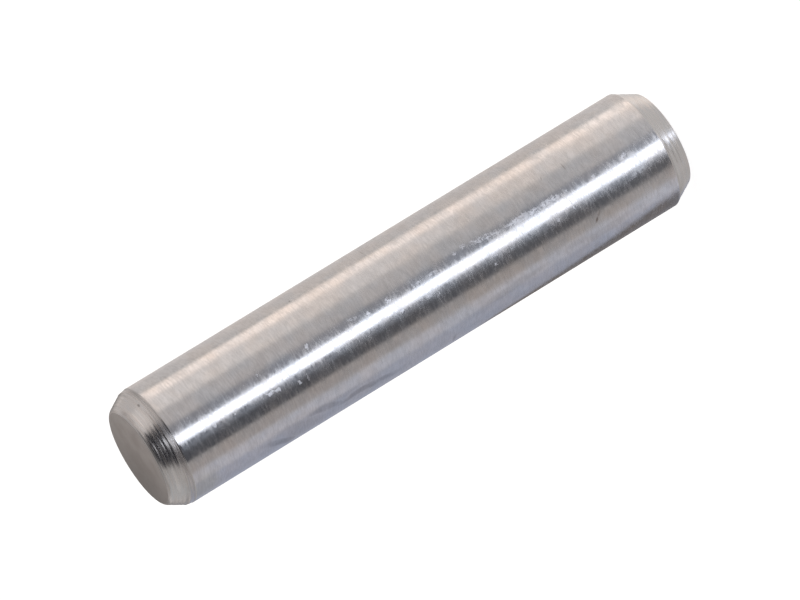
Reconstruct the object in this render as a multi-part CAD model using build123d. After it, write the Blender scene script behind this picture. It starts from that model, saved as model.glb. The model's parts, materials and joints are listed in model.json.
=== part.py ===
from build123d import *
import os

# Overall size in millimetres
pin_diameter = 8.0
pin_length = 39.0

# Foot end: one plain cone down to the flat face the pin stands on
foot_cone_length = 1.4
foot_cone_depth = 0.77

# Top end: a narrow, shallow lead ring off the ground wall, then the steeper cone
lead_length = 0.4
lead_depth = 0.08
top_cone_length = 1.1
top_cone_depth = 0.64

# Radii that break the sharp edges; the top rim is rounded more, as the end that goes in first
foot_rim_radius = 0.1
top_rim_radius = 0.35
wall_edge_radius = 0.15

# Radii and heights that follow from the sizes above
wall_radius = pin_diameter / 2
foot_face_radius = wall_radius - foot_cone_depth
lead_radius = wall_radius - lead_depth
top_face_radius = lead_radius - top_cone_depth
wall_start = foot_cone_length
cone_start = pin_length - top_cone_length
wall_end = cone_start - lead_length

# Half section through the axis, from the foot up
foot_rim = (foot_face_radius, 0)
wall_foot = (wall_radius, wall_start)
wall_top = (wall_radius, wall_end)
lead_top = (lead_radius, cone_start)
top_rim = (top_face_radius, pin_length)
outline = Polyline((0, 0), foot_rim, wall_foot, wall_top, lead_top, top_rim, (0, pin_length), close=True)
section = make_face(Plane.XZ * outline)


# The corner of the section that lies at a point of the outline
def corner(face, point):
    across, up = point
    return face.vertices().sort_by_distance((across, 0, up))[0]


section = fillet(corner(section, foot_rim), foot_rim_radius)
section = fillet(corner(section, top_rim), top_rim_radius)
section = fillet([corner(section, wall_foot), corner(section, wall_top)], wall_edge_radius)

dowel_pin = revolve(section, Axis.Z)

os.makedirs("parts", exist_ok=True)
export_step(dowel_pin, "parts/dowel_pin.step")
print("dowel pin", dowel_pin.bounding_box().size, "volume", dowel_pin.volume)
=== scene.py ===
import json
from math import atan2, cos, pi, radians, sin, tau

import bmesh
import bpy
from mathutils import Matrix, Vector


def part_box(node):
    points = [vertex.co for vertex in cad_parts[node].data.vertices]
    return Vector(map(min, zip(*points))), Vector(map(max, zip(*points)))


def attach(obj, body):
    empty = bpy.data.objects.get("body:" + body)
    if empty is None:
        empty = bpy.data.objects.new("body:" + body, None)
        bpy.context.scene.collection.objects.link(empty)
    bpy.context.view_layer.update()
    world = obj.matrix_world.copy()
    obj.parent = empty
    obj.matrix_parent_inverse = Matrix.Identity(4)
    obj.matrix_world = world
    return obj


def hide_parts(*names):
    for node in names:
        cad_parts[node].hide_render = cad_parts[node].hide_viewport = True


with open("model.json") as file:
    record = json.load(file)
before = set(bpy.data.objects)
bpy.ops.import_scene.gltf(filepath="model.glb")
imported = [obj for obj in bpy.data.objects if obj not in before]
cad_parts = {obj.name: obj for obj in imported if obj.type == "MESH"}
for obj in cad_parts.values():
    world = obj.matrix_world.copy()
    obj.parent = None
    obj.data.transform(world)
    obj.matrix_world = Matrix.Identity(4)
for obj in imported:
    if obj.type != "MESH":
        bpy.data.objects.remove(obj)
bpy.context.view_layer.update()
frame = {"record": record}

mm = 0.001
micron = 0.000001
print("frame loaded")


# Node helpers: a socket is linked, anything else is set as the value
def plug(tree, target, value):
    if isinstance(value, bpy.types.NodeSocket):
        tree.links.new(value, target)
    else:
        target.default_value = value


def addNode(tree, kind, inputs=None, **settings):
    node = tree.nodes.new(kind)
    for key, value in settings.items():
        setattr(node, key, value)
    for key, value in (inputs or {}).items():
        plug(tree, node.inputs[key], value)
    return node


def calc(tree, operation, *values):
    return addNode(tree, "ShaderNodeMath", dict(enumerate(values)), operation=operation).outputs[0]


def calcVector(tree, operation, *values):
    node = addNode(tree, "ShaderNodeVectorMath", dict(enumerate(values)), operation=operation)
    return node.outputs["Value" if operation in ("LENGTH", "DISTANCE") else "Vector"]


# A soft change from the start level to the end level while the value goes from low to high
def ease(tree, value, low, high, start=0.0, end=1.0):
    inputs = dict(enumerate((value, low, high, start, end)))
    return addNode(tree, "ShaderNodeMapRange", inputs, interpolation_type="SMOOTHSTEP").outputs[0]


# Sockets 6 and 7 of a mix node are its two colours, and its output 2 is the mixed one
def blendColour(tree, share, first, second):
    node = addNode(tree, "ShaderNodeMix", data_type="RGBA")
    plug(tree, node.inputs[0], share)
    plug(tree, node.inputs[6], first)
    plug(tree, node.inputs[7], second)
    return node.outputs[2]


def tinted(tree, colour, level):
    return calcVector(tree, "MULTIPLY", colour, level)


# Turn about the axis from the front, in radians, positive towards -X
def turnFromFront(tree, x, y):
    return calc(tree, "ARCTAN2", calc(tree, "MULTIPLY", x, -1.0), calc(tree, "MULTIPLY", y, -1.0))


def opaque(colour):
    return (*colour, 1.0)


def objectFrom(bm, name):
    mesh = bpy.data.meshes.new(name)
    bm.to_mesh(mesh)
    bm.free()
    made = bpy.data.objects.new(name, mesh)
    bpy.context.collection.objects.link(made)
    return made


# The pin itself, turned from a half section like the real one
pin = {
    "footConeLength": 1.4 * mm,
    "footConeDepth": 0.77 * mm,
    "shoulder": 0.015 * mm,     # small step where the grinding wheel stopped
    "leadLength": 0.4 * mm,
    "leadDepth": 0.08 * mm,
    "topConeLength": 1.1 * mm,
    "topConeDepth": 0.64 * mm,
    "edgeBreaks": {"footRim": 0.06 * mm, "wallFoot": 0.02 * mm,
                   "wallTop": 0.02 * mm, "topRim": 0.20 * mm},
    "edgeSteps": 4,
    "steps": 192,               # around the axis
    "shortest": 0.2 * mm,       # shorter lines of the section stay undivided
    "wallRow": 0.17 * mm,
    "leadRow": 0.05 * mm,
    "coneRow": 0.02 * mm,
    "faceRow": 0.14 * mm,
    "ringPitch": 0.12 * mm,     # feed of the turning tool on the cones
    "ringDepth": 1.2 * micron,
    "ringUneven": 0.4,          # how much the rings differ in depth
    "ringBeat": 2.4,            # radians from one ring to the next
    "ringStart": 0.7,
    # the tool's deeper furrows: distance from the cone's wide end mm, width mm, depth in microns
    "topFurrows": ((0.06, 0.42, 21), (0.37, 0.20, 6), (0.62, 0.16, 3), (0.86, 0.24, 7)),
    "footFurrows": ((0.40, 0.68, 19), (0.90, 0.50, 14), (1.28, 0.16, 4)),
    "mergeWithin": 0.1 * micron,
    "endTilt": 0.97,            # a face whose normal lies this near the axis is a faced end
}
# the order in which the finishes go on the pin
wallFinish, coneFinish, endFinish = range(3)


def sectionPoints():
    low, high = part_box("dowel_pin")
    mounts = {mount["name"]: mount for mount in frame["record"]["mounts"]}
    wallRadius = mounts["pin_wall"]["dims"]["r_mm"] * mm
    leadRadius = wallRadius - pin["leadDepth"]
    coneStart = high.z - pin["topConeLength"]
    wallEnd = coneStart - pin["leadLength"]
    return {
        "footCentre": (0.0, low.z),
        "footRim": (wallRadius - pin["footConeDepth"], low.z),
        "wallFoot": (wallRadius, low.z + pin["footConeLength"]),
        "wallTop": (wallRadius, wallEnd),
        "leadFoot": (wallRadius - pin["shoulder"], wallEnd + pin["shoulder"]),
        "leadTop": (leadRadius, coneStart),
        "topRim": (leadRadius - pin["topConeDepth"], high.z),
        "topCentre": (0.0, high.z),
    }


# The half section as one line, its edges broken before the long lines are divided
def drawSection(points):
    bm = bmesh.new()
    bm.verts.layers.float.new("way")
    corners = {name: bm.verts.new((r, 0, z)) for name, (r, z) in points.items()}
    order = list(corners.values())
    for first, second in zip(order, order[1:]):
        bm.edges.new((first, second))
    for name, size in pin["edgeBreaks"].items():
        bmesh.ops.bevel(bm, geom=[corners[name]], offset=size, offset_type="OFFSET",
                        segments=pin["edgeSteps"], profile=0.5, affect="VERTICES", material=-1)
    return bm


# Turning marks: each pass of the tool leaves a shallow round furrow, a few are deeper
def furrowDepth(along, furrows):
    turn = along / pin["ringPitch"]
    across = turn % 1.0
    beat = sin(int(turn) * pin["ringBeat"] + pin["ringStart"])
    uneven = 1 - pin["ringUneven"] + pin["ringUneven"] * beat
    depth = pin["ringDepth"] * uneven * 4 * across * (1 - across)
    for place, width, deep in furrows:
        offset = (along / mm - place) / width
        if abs(offset) < 0.5:
            depth += deep * micron * cos(pi * offset) ** 2
    return depth


# How far apart the rows of a line are, and the furrows on it
def rowsFor(start, end, points):
    height = ((start + end) / 2).z
    wallFoot, wallTop, leadTop = (points[name][1] for name in ("wallFoot", "wallTop", "leadTop"))
    if abs(start.z - end.z) < micron:
        return pin["faceRow"], ()
    if wallFoot < height < wallTop:
        return pin["wallRow"], ()
    if wallTop < height < leadTop:
        return pin["leadRow"], ()
    return pin["coneRow"], pin["footFurrows"] if height < wallFoot else pin["topFurrows"]


# Rows close enough for the turning marks, pressed in where the tool went
def divideSection(bm, points):
    for edge in bm.edges[:]:
        length = edge.calc_length()
        if length < pin["shortest"]:
            continue
        start, end = sorted((vert.co.copy() for vert in edge.verts), key=lambda spot: -spot.x)
        row, furrows = rowsFor(start, end, points)
        made = bmesh.ops.subdivide_edges(bm, edges=[edge], cuts=int(length / row))
        if not furrows:
            continue
        line = (end - start).normalized()
        inward = Vector((-abs(line.z), 0, line.x if line.z > 0 else -line.x))
        for vert in made["geom_inner"]:
            if isinstance(vert, bmesh.types.BMVert):
                vert.co += inward * furrowDepth((vert.co - start).dot(line), furrows)


# Each point's way along the section from the foot, for the bake's map; gives the whole way
def markWay(bm):
    wayLayer = bm.verts.layers.float["way"]
    ends = [vert for vert in bm.verts if len(vert.link_edges) == 1]
    last, vert, way = None, min(ends, key=lambda end: end.co.z), 0.0
    while True:
        vert[wayLayer] = way
        onward = [edge.other_vert(vert) for edge in vert.link_edges if edge.other_vert(vert) is not last]
        if not onward:
            return way
        last, vert = vert, onward[0]
        way += (vert.co - last.co).length


# Finishes by place, and the bake's map: the turn across it and the way along the section up it
def dressFaces(bm, points, wholeWay):
    wayLayer = bm.verts.layers.float["way"]
    bakeMap = bm.loops.layers.uv.new("OFBake")
    for face in bm.faces:
        middle = face.calc_center_median()
        face.smooth = True
        if abs(face.normal.z) > pin["endTilt"]:
            face.material_index = endFinish
        elif points["wallFoot"][1] < middle.z < points["wallTop"][1]:
            face.material_index = wallFinish
        else:
            face.material_index = coneFinish
        facing = atan2(middle.y, middle.x) % tau
        for loop in face.loops:
            spot = loop.vert.co
            turn = atan2(spot.y, spot.x) % tau if spot.xy.length > micron else facing
            if turn - facing > pi:
                turn -= tau
            elif facing - turn > pi:
                turn += tau
            loop[bakeMap].uv = (turn / tau, loop.vert[wayLayer] / wholeWay)


def turnPin():
    points = sectionPoints()
    bm = drawSection(points)
    divideSection(bm, points)
    wholeWay = markWay(bm)
    bmesh.ops.spin(bm, geom=bm.verts[:] + bm.edges[:], cent=(0, 0, 0), axis=(0, 0, 1),
                   angle=tau, steps=pin["steps"], use_merge=True)
    bmesh.ops.remove_doubles(bm, verts=bm.verts[:], dist=pin["mergeWithin"])
    bmesh.ops.recalc_face_normals(bm, faces=bm.faces[:])
    dressFaces(bm, points, wholeWay)
    made = objectFrom(bm, "dowelPin")
    print("pin turned,", len(made.data.polygons), "faces")
    return made


def startSteel(name):
    material = bpy.data.materials.new(name)
    material.use_nodes = True
    tree = material.node_tree
    shader = tree.nodes["Principled BSDF"]
    shader.inputs["Metallic"].default_value = 1.0
    place = addNode(tree, "ShaderNodeTexCoord").outputs["Object"]
    return material, tree, shader, place


# Noise drawn out around the pin and along it; the shift keeps it apart from the other noises
def drawnNoise(tree, place, around, along, detail, shift, rough=0.55):
    scaled = addNode(tree, "ShaderNodeMapping",
                     {"Vector": place, "Location": (shift, shift, shift),
                      "Scale": (1 / around, 1 / around, 1 / along)})
    noise = addNode(tree, "ShaderNodeTexNoise",
                    {"Vector": scaled.outputs[0], "Scale": 1.0, "Detail": detail, "Roughness": rough})
    return noise.outputs["Fac"]


def drawnNoises(tree, place, noises):
    return {name: drawnNoise(tree, place, *numbers) for name, numbers in noises.items()}


# Place shaken by noise, so that marks get uneven borders
def stirred(tree, place, size, reach, detail=2.0):
    noise = addNode(tree, "ShaderNodeTexNoise", {"Vector": place, "Scale": 1 / size, "Detail": detail})
    shift = calcVector(tree, "MULTIPLY_ADD", noise.outputs["Color"], (2 * reach,) * 3, (-reach,) * 3)
    return calcVector(tree, "ADD", place, shift)


# One mark on the steel. It is its height mm, angle from the front, half sizes along and around mm,
# lean in degrees and strength. Its core is the share of it at full strength
def markShare(tree, place, mark, radius, core, depth=2 * mm):
    height, angle, along, around, lean, strength = mark
    turn = radians(angle)
    middle = (-radius * sin(turn), -radius * cos(turn), height * mm)
    local = addNode(tree, "ShaderNodeMapping",
                    {"Vector": place, "Location": middle, "Rotation": (0.0, radians(lean), -turn),
                     "Scale": (around * mm, depth, along * mm)}, vector_type="TEXTURE")
    near = addNode(tree, "ShaderNodeTexGradient", {"Vector": local.outputs[0]},
                   gradient_type="SPHERICAL")
    return ease(tree, near.outputs["Fac"], 0.0, 1.0 - core, 0.0, strength)


def allMarks(tree, place, look, kind):
    radius, core = look["markRadius"], look["cores"][kind]
    first, *others = look[kind]
    share = markShare(tree, place, first, radius, core)
    for mark in others:
        share = calc(tree, "MAXIMUM", share, markShare(tree, place, mark, radius, core))
    return share


def addBump(tree, shader, height, distance):
    bump = addNode(tree, "ShaderNodeBump", {"Height": height, "Distance": distance, "Strength": 1.0})
    plug(tree, shader.inputs["Normal"], bump.outputs[0])


# Ground wall: fine lines around it, with the scuffs and nicks of use, painted glints on the scuffs and
# ticks, stains with painted reflections and shade among them, and a painted warm reflection near the top
groundWall = {
    "warm": (0.634, 0.612, 0.596),
    "cool": (0.606, 0.608, 0.614),
    # painted reflection: the warm grey tint
    "reflectionTint": (0.605, 0.578, 0.50),
    # painted glint: the pale blue-white laid over the scuffs and ticks
    "scuffGlintPale": (0.90, 0.91, 0.95),
    "nickDark": (0.24, 0.21, 0.19),
    # a noise is its size around, its size along, its detail and its shift
    "noises": {
        "fine": (0.48 * mm, 0.12 * mm, 2.0, 0.0),
        "long": (5 * mm, 0.5 * mm, 3.0, 3.0),
        "patch": (2 * mm, 2 * mm, 2.0, 7.0),
        "fleck": (0.11 * mm, 0.20 * mm, 1.5, 5.0),
        "cloud": (0.9 * mm, 0.7 * mm, 3.0, 11.0),
        "tone": (0.6 * mm, 0.1 * mm, 2.0, 9.0),
        "blotch": (0.9 * mm, 0.7 * mm, 2.0, 17.0),
    },
    "fineShare": 0.78,          # the long lines are the rest
    "lineHeight": 0.3 * micron,
    "nickDepth": 12.0,          # in line heights
    # a soft change is where it starts and ends, then the level at each
    "patchWarm": (0.35, 0.65, 0.0, 1.0),
    # painted light: the colour lighter towards the foot
    "footPaintedLight": (1.4 * mm, 9 * mm, 1.09, 1.0),
    "toneLevel": (0.35, 0.65, 0.952, 1.043),
    "cloudLevel": (0.32, 0.68, 0.96, 1.04),
    "stainShadeLevel": (0.0, 1.0, 1.0, 0.66),
    "stainShadePatchy": (0.30, 0.60, 0.55, 1.0),
    "scuffPatchy": (0.38, 0.60, 0.2, 0.9),
    "lineRough": (0.35, 0.65, 0.155, 0.285),
    "blotchRough": (0.32, 0.68, -0.042, 0.042),
    "roughUp": (4 * mm, 40 * mm, 1.03, 0.82),       # rougher at the foot, smoother at the top
    "scuffRough": 0.275,        # added to the lines' own
    "scuffGlintCover": 0.9,
    # size and reach of the noise that frays the marks
    "scuffStir": (0.2 * mm, 0.2 * mm),
    "stainShadeStir": (2 * mm, 0.45 * mm),
    "markRadius": 4.0 * mm,
    "cores": {"scuffs": 0.25, "glintTicks": 0.3, "stains": 0.25, "paintedReflectionTint": 0.25, "nicks": 0.1},
    "scuffs": (
        (9.6, -4.6, 1.1, 0.26, 0, 1), (11.8, -4.8, 1.25, 0.26, 0, 1),
        (10.75, -4.5, 0.6, 0.24, 0, 0.9), (14.3, -6.9, 1.6, 0.25, 8, 0.75),
        (15.75, -10.2, 0.28, 0.2, 0, 0.9), (18.35, -3.8, 0.5, 0.16, 0, 0.6),
        (19.5, -3.8, 0.5, 0.14, 0, 0.45), (4, -4.6, 0.42, 0.2, -25, 0.85),
        (8.3, -5, 0.2, 0.25, 0, 0.5), (6.25, -3.7, 0.15, 0.2, 0, 0.7),
        (1.6, -4.4, 0.15, 0.2, 0, 0.5), (24.2, -6.8, 0.5, 0.2, 10, 0.65),
        (3.75, 14.6, 1.2, 0.28, -12, 0.6), (9.65, 13.6, 0.18, 0.2, 0, 0.6),
        (13.05, 14.6, 0.16, 0.18, 0, 0.5), (14.3, 11, 0.4, 0.2, 0, 0.5),
        (19.2, 11.4, 0.3, 0.24, 0, 0.65), (30.6, 12.5, 0.4, 0.17, 18, 0.8),
        (34.9, 10.8, 0.16, 0.2, 0, 0.5),
    ),
    # ticks: painted glints, small bright dots with a little roughness
    "glintTicks": (
        (16.5, -8.6, 0.14, 0.14, 0, 0.8), (21.65, -3.9, 0.15, 0.26, 20, 1),
        (23.08, -2.8, 0.1, 0.2, 0, 1), (27.48, -6.9, 0.17, 0.2, 0, 0.9),
        (31.07, -7.9, 0.08, 0.12, 0, 0.6), (14.5, 18.3, 0.15, 0.12, 0, 0.8),
        (18.55, 14.8, 0.06, 0.16, 25, 0.8), (28.95, 16.8, 0.18, 0.16, -20, 1),
        (8.35, 12, 0.08, 0.2, 0, 0.7), (21.15, 10, 0.18, 0.16, 0, 0.8),
        (33.5, 11.2, 0.07, 0.14, 0, 0.5), (9.6, 14.2, 0.1, 0.12, 0, 0.5),
        (36.15, -7.6, 0.1, 0.14, 0, 0.4), (29.6, -48.6, 0.08, 0.3, 30, 0.4),
        (12.35, -5, 0.6, 0.15, 0, 0.55), (11.4, -5.2, 0.45, 0.12, 0, 0.45),
        (30.42, 12.9, 0.32, 0.15, 10, 0.9), (30.95, 12.3, 0.2, 0.16, 0, 0.85),
        (28.35, 17.4, 0.07, 0.28, 0, 0.6), (21.47, -3, 0.1, 0.18, 20, 0.9),
    ),
    "nicks": (
        (7.32, 33, 0.12, 0.3, 35, 0.9), (7.08, 29, 0.12, 0.34, 35, 0.45),
        (20.8, -64, 0.05, 0.55, 0, 0.45), (26.4, -56.5, 0.07, 0.14, 0, 0.6),
        (7.5, -24, 0.08, 0.4, 0, 0.4), (9.1, -25.6, 0.07, 0.25, 20, 0.36),
    ),
    # darker patches: partly stains, partly painted reflection and painted shade
    "stains": (
        (25, 63.6, 3.4, 0.48, 3, 0.9), (27.9, 55.2, 2.2, 0.52, 14, 0.75),
        (31.3, 65.5, 1.9, 0.56, 25, 0.85), (30.7, 71, 0.9, 0.65, 22, 0.9),
        (29.7, 57.5, 1.6, 0.55, 25, 0.5), (30.6, 53.6, 1, 0.42, 5, 0.4),
        (18.4, 71, 0.2, 0.8, 0, 0.6), (36.8, 64, 0.9, 1.6, 0, 0.2), (7, 46, 5.2, 0.55, 0, 0.5),
        (14, 48, 4.6, 0.5, -3, 0.55), (14, -34, 3, 0.9, 0, 0.28), (29.6, 64, 2.6, 1.3, 12, 0.5),
        (26.6, 52, 2.2, 0.4, 5, 0.35), (16.5, 52, 2.6, 0.8, -6, 0.3),
        (9.8, 49.5, 0.3, 0.4, 0, 0.35), (37.2, 52, 0.5, 2.2, 0, 0.35),
    ),
    # painted reflection: a warm grey tint near the top end
    "paintedReflectionTint": ((36.9, 66.0, 1.6, 2.2, 0, 0.75),),
}


def groundSteel():
    look = groundWall
    material, tree, shader, place = startSteel("groundWall")
    height = addNode(tree, "ShaderNodeSeparateXYZ", {0: place}).outputs[2]
    noise = drawnNoises(tree, place, look["noises"])
    lines = calc(tree, "ADD", calc(tree, "MULTIPLY", noise["fine"], look["fineShare"]),
                 calc(tree, "MULTIPLY", noise["long"], 1.0 - look["fineShare"]))

    # where it is worn and nicked, where it is stained, and where glints, reflections and shade are
    # painted on
    shaken = stirred(tree, place, *look["scuffStir"])
    scuffed = calc(tree, "MULTIPLY", ease(tree, noise["fleck"], *look["scuffPatchy"]),
                   allMarks(tree, shaken, look, "scuffs"))
    wearAndGlints = calc(tree, "MAXIMUM", scuffed, allMarks(tree, shaken, look, "glintTicks"))
    wavy = stirred(tree, place, *look["stainShadeStir"])
    stainedAndShaded = calc(tree, "MULTIPLY", ease(tree, noise["cloud"], *look["stainShadePatchy"]),
                   allMarks(tree, wavy, look, "stains"))
    reflectionTinted = allMarks(tree, wavy, look, "paintedReflectionTint")
    nicked = allMarks(tree, place, look, "nicks")

    warm = ease(tree, noise["patch"], *look["patchWarm"])
    colour = blendColour(tree, warm, opaque(look["cool"]), opaque(look["warm"]))
    # painted light: lighter towards the foot
    colour = tinted(tree, colour, ease(tree, height, *look["footPaintedLight"]))
    # painted reflection: the warm grey tint laid on near the top end
    colour = blendColour(tree, reflectionTinted, colour, opaque(look["reflectionTint"]))
    colour = tinted(tree, colour, ease(tree, noise["tone"], *look["toneLevel"]))
    colour = tinted(tree, colour, ease(tree, noise["cloud"], *look["cloudLevel"]))
    # painted reflection and shade with the stains: darker where these patches lie
    colour = tinted(tree, colour, ease(tree, stainedAndShaded, *look["stainShadeLevel"]))
    # painted glint: the scuffs and ticks take the pale colour
    covered = calc(tree, "MULTIPLY", wearAndGlints, look["scuffGlintCover"])
    colour = blendColour(tree, covered, colour, opaque(look["scuffGlintPale"]))
    colour = blendColour(tree, nicked, colour, opaque(look["nickDark"]))
    plug(tree, shader.inputs["Base Color"], colour)

    rough = calc(tree, "ADD", ease(tree, lines, *look["lineRough"]),
                 ease(tree, noise["blotch"], *look["blotchRough"]))
    rough = calc(tree, "MULTIPLY", rough, ease(tree, height, *look["roughUp"]))
    rough = calc(tree, "ADD", rough, calc(tree, "MULTIPLY", wearAndGlints, look["scuffRough"]))
    plug(tree, shader.inputs["Roughness"], rough)
    relief = calc(tree, "SUBTRACT", lines, calc(tree, "MULTIPLY", nicked, look["nickDepth"]))
    addBump(tree, shader, relief, look["lineHeight"])
    return material


# Turned cones: rings of the tool, with painted shade and painted glints along them, and dark nicks
turnedCone = {
    "warm": (0.630, 0.600, 0.582),
    "cool": (0.580, 0.578, 0.582),
    # painted shade: the dark of the shade lines, also the nicks' own dark
    "nickAndShadeDark": (0.26, 0.245, 0.24),
    # painted glint colour
    "paintedGlint": (0.78, 0.755, 0.735),
    "noises": {
        "fine": (1.6 * mm, 0.085 * mm, 2.0, 0.0),
        "patch": (0.9 * mm, 0.5 * mm, 2.0, 4.0),
    },
    "lineHeight": 7.5 * micron,
    "fineWarm": (0.3, 0.7, 0.0, 1.0),
    "fineRough": (0.35, 0.65, 0.19, 0.32),
    "shadePatchy": (0.30, 0.62, 0.35, 1.0),
    # painted shade and painted glint lines, each: height mm, half width mm, strength, middle angle,
    # spread in degrees
    "shadeLines": (
        (37.60, 0.18, 0.34, -68, 24), (37.54, 0.09, 0.5, -6, 44), (37.56, 0.12, 0.25, 60, 60),
        (37.95, 0.07, 0.5, -8, 40), (38.55, 0.06, 0.4, 0, 30), (38.84, 0.2, 0.42, -40, 26),
        (38.80, 0.16, 0.75, 1, 9), (1.32, 0.55, 0.55, 66, 20), (1.3, 0.11, 0.34, 26, 32),
        (0.94, 0.09, 0.42, 20, 12), (0.60, 0.07, 0.36, 24, 12), (37.70, 0.2, 0.42, 12, 36),
        (38.0, 0.2, 0.3, 66, 30),
    ),
    "glintLines": (
        (37.83, 0.05, 0.5, -40, 14), (38.55, 0.05, 0.7, -32, 15), (38.30, 0.04, 0.4, -36, 12),
        (38.42, 0.14, 0.55, 38, 22), (38.75, 0.15, 0.8, 21, 8), (0.74, 0.07, 0.6, 9, 13),
        (0.32, 0.07, 0.5, 11, 10), (38.35, 0.6, 0.7, -82, 14),
    ),
    "widthCore": 0.1,           # share of a line's half width at full strength
    "spreadCore": 0.5,          # share of its spread at full strength
    "markRadius": 3.8 * mm,
    "cores": {"nicks": 0.3},
    "nicks": (
        (37.99, -44.5, 0.09, 0.20, 0, 0.8), (38.78, -38.0, 0.04, 0.12, 0, 0.5),
    ),
}


# Painted lines of shade and glint along the rings, each over its own part of the turn from the front
def ringLines(tree, height, facing, lines):
    share = 0.0
    for middle, half, strength, angle, spread in lines:
        off = calc(tree, "ABSOLUTE", calc(tree, "SUBTRACT", height, middle * mm))
        aside = calc(tree, "ABSOLUTE", calc(tree, "SUBTRACT", facing, radians(angle)))
        across = ease(tree, off, half * mm, turnedCone["widthCore"] * half * mm, 0.0, strength)
        around = ease(tree, aside, radians(spread), radians(turnedCone["spreadCore"] * spread))
        share = calc(tree, "MAXIMUM", share, calc(tree, "MULTIPLY", across, around))
    return share


def turnedSteel():
    look = turnedCone
    material, tree, shader, place = startSteel("turnedCone")
    noise = drawnNoises(tree, place, look["noises"])
    x, y, height = addNode(tree, "ShaderNodeSeparateXYZ", {0: place}).outputs
    facing = turnFromFront(tree, x, y)
    patchy = ease(tree, noise["patch"], *look["shadePatchy"])
    # painted shade along the rings, with the real nicks added
    shadeAndNicks = calc(tree, "MULTIPLY", ringLines(tree, height, facing, look["shadeLines"]), patchy)
    # painted glints along the rings
    wearAndGlints = ringLines(tree, height, facing, look["glintLines"])
    shadeAndNicks = calc(tree, "MAXIMUM", shadeAndNicks, allMarks(tree, place, look, "nicks"))
    warm = ease(tree, noise["fine"], *look["fineWarm"])
    colour = blendColour(tree, warm, opaque(look["cool"]), opaque(look["warm"]))
    # painted glint: the glint lines take the pale colour
    colour = blendColour(tree, wearAndGlints, colour, opaque(look["paintedGlint"]))
    colour = blendColour(tree, shadeAndNicks, colour, opaque(look["nickAndShadeDark"]))
    plug(tree, shader.inputs["Base Color"], colour)
    plug(tree, shader.inputs["Roughness"], ease(tree, noise["fine"], *look["fineRough"]))
    addBump(tree, shader, noise["fine"], look["lineHeight"])
    return material


# Faced ends: dull and mottled, very slightly crowned by hand dressing
facedEnd = {
    "pale": (0.475, 0.452, 0.438),
    "dull": (0.42, 0.388, 0.37),
    "noises": {
        "patch": (1.6 * mm, 1.6 * mm, 3.0, 0.0),
        "grain": (0.16 * mm, 0.16 * mm, 2.0, 2.0),
    },
    "radius": 3.28 * mm,
    "crown": 0.24 * mm,
    "patchPale": (0.35, 0.65, 0.0, 0.6),
    "rimPale": (0.55, 1.0, 0.0, 0.4),
    "grainPale": (0.3, 0.7, -0.15, 0.15),
    "patchRough": (0.35, 0.65, 0.42, 0.33),
    # a darker patch off the face's middle: its middle, and the level by the distance from it
    "backDarkPatch": (-1.6 * mm, 1.6 * mm, 39.0 * mm),
    "backDarkLevel": (0.2 * mm, 3.6 * mm, 0.84, 1.0),
}


def facedSteel():
    look = facedEnd
    material, tree, shader, place = startSteel("facedEnd")
    noise = drawnNoises(tree, place, look["noises"])
    flat = calcVector(tree, "MULTIPLY", place, (1.0, 1.0, 0.0))
    out = calc(tree, "DIVIDE", calcVector(tree, "LENGTH", flat), look["radius"])
    pale = calc(tree, "ADD", ease(tree, noise["patch"], *look["patchPale"]),
                ease(tree, out, *look["rimPale"]))
    pale = calc(tree, "ADD", pale, ease(tree, noise["grain"], *look["grainPale"]))
    colour = blendColour(tree, pale, opaque(look["dull"]), opaque(look["pale"]))
    far = calcVector(tree, "DISTANCE", place, look["backDarkPatch"])
    colour = tinted(tree, colour, ease(tree, far, *look["backDarkLevel"]))
    plug(tree, shader.inputs["Base Color"], colour)
    plug(tree, shader.inputs["Roughness"], ease(tree, noise["patch"], *look["patchRough"]))
    drop = calc(tree, "MULTIPLY", calc(tree, "MULTIPLY", out, out), -1.0)
    addBump(tree, shader, drop, look["crown"])
    return material


dowelPin = turnPin()
for finish in (groundSteel(), turnedSteel(), facedSteel()):
    dowelPin.data.materials.append(finish)
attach(dowelPin, "root")
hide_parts("dowel_pin")
print("steel finishes on")

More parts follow.
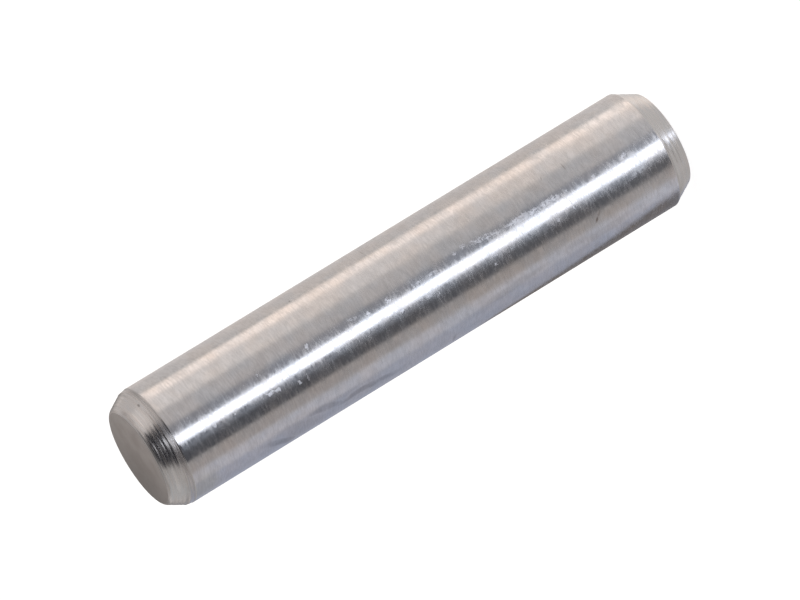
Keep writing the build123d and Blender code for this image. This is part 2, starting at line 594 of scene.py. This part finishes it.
# The studio: soft panels round the pin, each laid over those before it. A panel is its turn in degrees
# from the camera's side (positive towards -X), its rise in degrees, its soft edge and its colour
studio = {
    "surround": (0.60, 0.58, 0.57),
    "white": (1.0, 1.0, 1.0),
    "panels": {
        "paleCard": ((-190, -114), (-95, 95), 10, (0.74, 0.69, 0.67)),
        "sideCard": ((-84, -52), (-95, 95), 12, (0.90, 0.83, 0.80)),
        "sideGlow": ((-82, -48), (-15, 95), 8, (1.02, 0.95, 0.915)),
        "greyCard": ((-50, -20), (-95, 95), 14, (0.62, 0.60, 0.61)),
        "dimGap": ((-20, 2), (-50, 95), 8, (0.35, 0.36, 0.405)),
        "blackFlag": ((19, 54), (-50, 95), 9, (0.095, 0.095, 0.107)),
        "blackFlagFoot": ((24, 50), (-50, -17), 6, (0.155, 0.157, 0.171)),
        "taupeCard": ((54, 78), (-95, 95), 11, (0.465, 0.428, 0.418)),
        "lilacCard": ((78, 106), (-95, 95), 12, (0.61, 0.61, 0.675)),
        "coolCard": ((106, 190), (-95, 95), 16, (0.42, 0.44, 0.53)),
        "lilacEdge": ((104, 128), (-95, 95), 10, (0.462, 0.48, 0.572)),
        "leftHorizon": ((-190, -30), (-8, 95), 7, (0.51, 0.48, 0.465)),
        "rightHorizon": ((50, 190), (-6, 95), 7, (0.42, 0.40, 0.395)),
        "warmBox": ((-106.7, -84), (-50, -9), 12, (1.41, 1.241, 1.143)),
        "warmLow": ((-150, -113), (-62, -32), 10, (1.20, 1.10, 1.03)),
        "lowRight": ((95, 190), (-64, -30), 10, (0.58, 0.56, 0.555)),
        "ceiling": ((-190, 190), (4, 95), 8, (0.70, 0.655, 0.635)),
        "ceilingLeft": ((-95, -38), (22, 95), 12, (0.88, 0.82, 0.79)),
        "ceilingRight": ((48, 95), (14, 95), 12, (0.53, 0.51, 0.50)),
        "ceilingFlag": ((-40, 53), (8, 95), 8, (0.035, 0.035, 0.042)),
        "ceilingSide": ((95, 143), (3, 42), 10, (0.585, 0.575, 0.575)),
        "backTopLeft": ((100, 190), (31, 95), 12, (0.42, 0.40, 0.39)),
        "backTopRight": ((-190, -150), (31, 95), 12, (0.50, 0.47, 0.46)),
        "zenith": ((-190, 190), (65, 95), 16, (0.17, 0.165, 0.165)),
        "backLeft": ((157, 190), (-2, 24), 12, (0.275, 0.258, 0.25)),
        "backRight": ((-190, -155), (-2, 20), 12, (0.385, 0.36, 0.345)),
        "rimLeft": ((166, 190), (-12, -3), 5, (0.17, 0.16, 0.155)),
        "rimRight": ((-190, -160), (-12, -3), 5, (0.20, 0.19, 0.185)),
        "rimGlow": ((-190, -152), (-42, -23), 6, (0.86, 0.83, 0.81)),
        "tableSheet": ((-190, 190), (-95, -52), 12, (0.72, 0.70, 0.69)),
        "tableShade": ((24, 150), (-95, -54), 12, (0.63, 0.61, 0.60)),
        "leadGap": ((-30, -2), (-5, 8), 6, (0.22, 0.22, 0.24)),
        "stripSpill": ((-7, 29), (-95, -2), 13, (0.42, 0.45, 0.52)),
        "spillGap": ((-16, -1.5), (-15.5, -4), 6, (0.31, 0.316, 0.352)),
        "stripBox": ((0.2, 20.7), (-95, -1), 5, (2.35, 2.45, 2.70)),
        "stripEdge": ((17, 26), (-18.8, -1), 4, (0.22, 0.232, 0.272)),
        "stripCorner": ((14.4, 34), (-13.6, 3), 4, (0.11, 0.113, 0.13)),
        "upperStrip": ((-5, 9), (8, 37), 6, (1.55, 1.60, 1.70)),
    },
}


def panelShare(tree, value, span, soft):
    opens = ease(tree, value, span[0] - soft / 2, span[0] + soft / 2)
    closes = ease(tree, value, span[1] - soft / 2, span[1] + soft / 2, 1.0, 0.0)
    return calc(tree, "MULTIPLY", opens, closes)


def lightStudio():
    world = bpy.data.worlds.new("studio")
    bpy.context.scene.world = world
    world.use_nodes = True
    tree = world.node_tree
    tree.nodes.clear()
    way = addNode(tree, "ShaderNodeTexCoord").outputs["Generated"]
    x, y, z = addNode(tree, "ShaderNodeSeparateXYZ", {0: way}).outputs
    turn = calc(tree, "DEGREES", turnFromFront(tree, x, y))
    rise = calc(tree, "DEGREES", calc(tree, "ARCSINE", z))
    colour = opaque(studio["surround"])
    for turnSpan, riseSpan, soft, shade in studio["panels"].values():
        share = calc(tree, "MULTIPLY", panelShare(tree, turn, turnSpan, soft),
                     panelShare(tree, rise, riseSpan, soft))
        colour = blendColour(tree, share, colour, opaque(shade))
    path = addNode(tree, "ShaderNodeLightPath")
    seen = blendColour(tree, path.outputs["Is Camera Ray"], colour, opaque(studio["white"]))
    glow = addNode(tree, "ShaderNodeBackground", {"Color": seen, "Strength": 1.0})
    addNode(tree, "ShaderNodeOutputWorld", {"Surface": glow.outputs[0]})
    print("studio lit with", len(studio["panels"]), "panels")


def emptyMaterial(name):
    material = bpy.data.materials.new(name)
    material.use_nodes = True
    material.node_tree.nodes.clear()
    return material, material.node_tree


whiteFloor = {
    "halfSize": 1.5,
    "paper": (0.80, 0.80, 0.80),
    "lift": 0.78,               # light added for the camera alone, so the paper reads white
}


def layFloor():
    bm = bmesh.new()
    bmesh.ops.create_grid(bm, x_segments=1, y_segments=1, size=whiteFloor["halfSize"])
    floor = objectFrom(bm, "floor")
    material, tree = emptyMaterial("whitePaper")
    paper = addNode(tree, "ShaderNodeBsdfDiffuse", {"Color": opaque(whiteFloor["paper"])})
    path = addNode(tree, "ShaderNodeLightPath")
    lift = calc(tree, "MULTIPLY", path.outputs["Is Camera Ray"], whiteFloor["lift"])
    glow = addNode(tree, "ShaderNodeEmission", {"Strength": lift})
    both = addNode(tree, "ShaderNodeAddShader", {0: paper.outputs[0], 1: glow.outputs[0]})
    addNode(tree, "ShaderNodeOutputMaterial", {"Surface": both.outputs[0]})
    floor.data.materials.append(material)
    floor.visible_glossy = False        # the steel mirrors the panels, not one flat sheet
    print("floor laid")


# A dark card beside the foot that stands in for a shadow on the table, which only the steel mirrors: its
# corners in mm and how solid it is there
shadowCard = {
    "border": (
        (-6.2, -1.8, 0.75), (-11.2, 1.2, 0.95), (-16.1, 5.4, 1.0), (-23.0, 18.0, 1.0),
        (-25.4, 29.0, 1.0), (-24.7, 46.0, 1.0),
    ),
    "back": ((-1.0, 46.0, 1.0), (-1.0, 6.0, 0.8), (-4.4, 4.2, 0.7)),
    "fade": (-5.0, 7.0),        # the border fades over this turn about the pin, degrees
    "height": 0.1 * mm,
    "colour": (0.412, 0.386, 0.37),
}


def cardCorner(bm, x, y, solid, degrees=0.0):
    turn = Matrix.Rotation(-radians(degrees), 3, "Z")
    corner = bm.verts.new(turn @ Vector((x * mm, y * mm, shadowCard["height"])))
    corner[bm.verts.layers.float["fade"]] = solid
    return corner


def layCard():
    bm = bmesh.new()
    bm.verts.layers.float.new("fade")
    outerTurn, innerTurn = shadowCard["fade"]
    outer = [cardCorner(bm, x, y, 0.0, outerTurn) for x, y, solid in shadowCard["border"]]
    inner = [cardCorner(bm, x, y, solid, innerTurn) for x, y, solid in shadowCard["border"]]
    back = [cardCorner(bm, x, y, solid) for x, y, solid in shadowCard["back"]]
    for corner in range(len(outer) - 1):
        bm.faces.new((outer[corner], outer[corner + 1], inner[corner + 1], inner[corner]))
    bm.faces.new(inner + back)
    bmesh.ops.recalc_face_normals(bm, faces=bm.faces[:])
    card = objectFrom(bm, "shadowCard")
    material, tree = emptyMaterial("shadowCard")
    share = addNode(tree, "ShaderNodeAttribute", attribute_name="fade").outputs["Fac"]
    # painted shadow: the card's dark colour, seen only in the steel
    dull = addNode(tree, "ShaderNodeBsdfDiffuse", {"Color": opaque(shadowCard["colour"])})
    clear = addNode(tree, "ShaderNodeBsdfTransparent")
    both = addNode(tree, "ShaderNodeMixShader", {0: share, 1: clear.outputs[0], 2: dull.outputs[0]})
    addNode(tree, "ShaderNodeOutputMaterial", {"Surface": both.outputs[0]})
    card.data.materials.append(material)
    card.visible_camera = False
    card.visible_diffuse = False
    card.visible_shadow = False
    print("card laid")


# The camera, placed as for the photo and aimed near the pin's middle
photoView = {
    "lens": 352.0,
    "sensor": 36.0,
    "clip": (0.05, 10.0),
    "distance": 477.76 * mm,
    "elevation": 16.81,         # degrees, like the roll
    "roll": -121.46,
    "aim": (-0.091 * mm, 0.0, 19.72 * mm),
}


def setCamera():
    data = bpy.data.cameras.new("photoCamera")
    data.lens = photoView["lens"]
    data.sensor_width = photoView["sensor"]
    data.clip_start, data.clip_end = photoView["clip"]
    camera = bpy.data.objects.new("photoCamera", data)
    bpy.context.collection.objects.link(camera)
    rise = radians(photoView["elevation"])
    back = Vector((0, -cos(rise), sin(rise)))
    camera.rotation_mode = "QUATERNION"
    level = (-back).to_track_quat("-Z", "Y").to_matrix()
    turned = level @ Matrix.Rotation(radians(photoView["roll"]), 3, "Z")
    camera.rotation_quaternion = turned.to_quaternion()
    camera.location = Vector(photoView["aim"]) + back * photoView["distance"]
    bpy.context.scene.camera = camera
    bpy.context.scene.view_settings.view_transform = "Standard"
    print("camera set")


lightStudio()
layFloor()
layCard()
setCamera()
